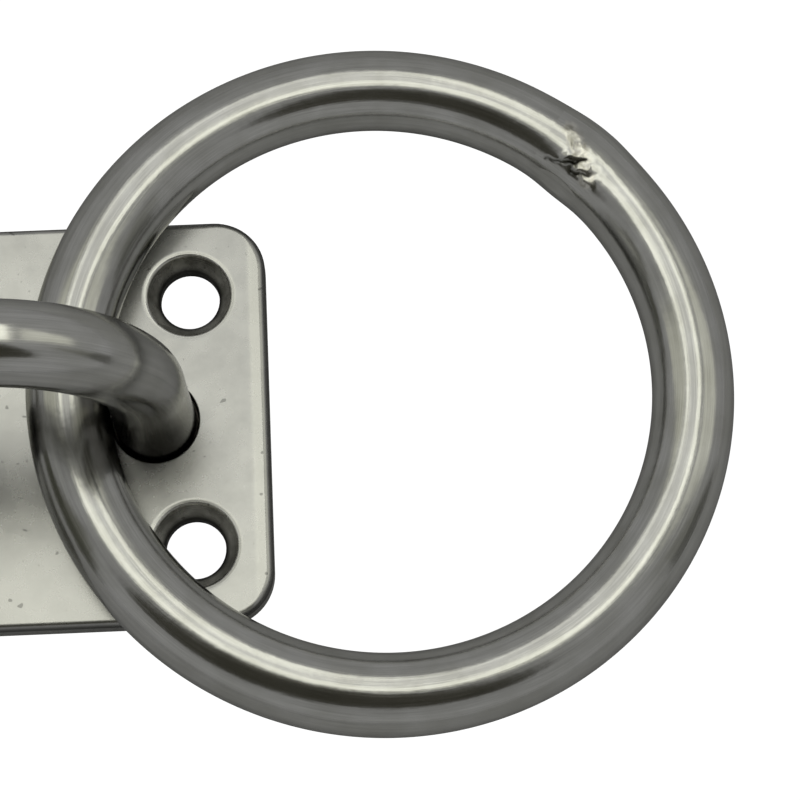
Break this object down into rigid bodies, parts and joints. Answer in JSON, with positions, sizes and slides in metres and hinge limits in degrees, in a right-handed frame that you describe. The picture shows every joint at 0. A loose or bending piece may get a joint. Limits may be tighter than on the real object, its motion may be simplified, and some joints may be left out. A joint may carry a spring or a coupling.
{
  "type": "pad eye with ring",
  "caption": "Stainless pad eye: an oblong countersunk screw plate with a welded round-bar bow that holds a loose, butt-welded round ring.",
  "frame": {"origin": "centre of the plate's flat back face, the face that is screwed down", "axes": "+Z out of the plate's front, towards the bow; +X along the plate's long side, towards the end where the ring lies; +Y along its short side"},
  "size_m": [0.095, 0.068, 0.0363],
  "materials": {
    "plate_steel": "tumbled satin",
    "bow_steel": "polished bar, soft satin sheen",
    "ring_steel": "polished bar, fine lengthwise scratches",
    "weld_steel": "ground weld with a rough, pitted centre"
  },
  "bodies": {
    "plate_and_bow": {"base_plate": "plate_steel", "bow": "bow_steel", "left_leg_weld": "weld_steel", "right_leg_weld": "weld_steel"},
    "captive_ring": {"ring": "ring_steel", "ring_weld": "weld_steel"}
  },
  "joints": [
    {"name": "ring_swing", "type": "hinge", "parent": "plate_and_bow", "child": "captive_ring", "pos_m": [0.00605, 0.002, 0.00757], "axis": [0, -1, 0], "range_deg": [0, 186]}
  ]
}
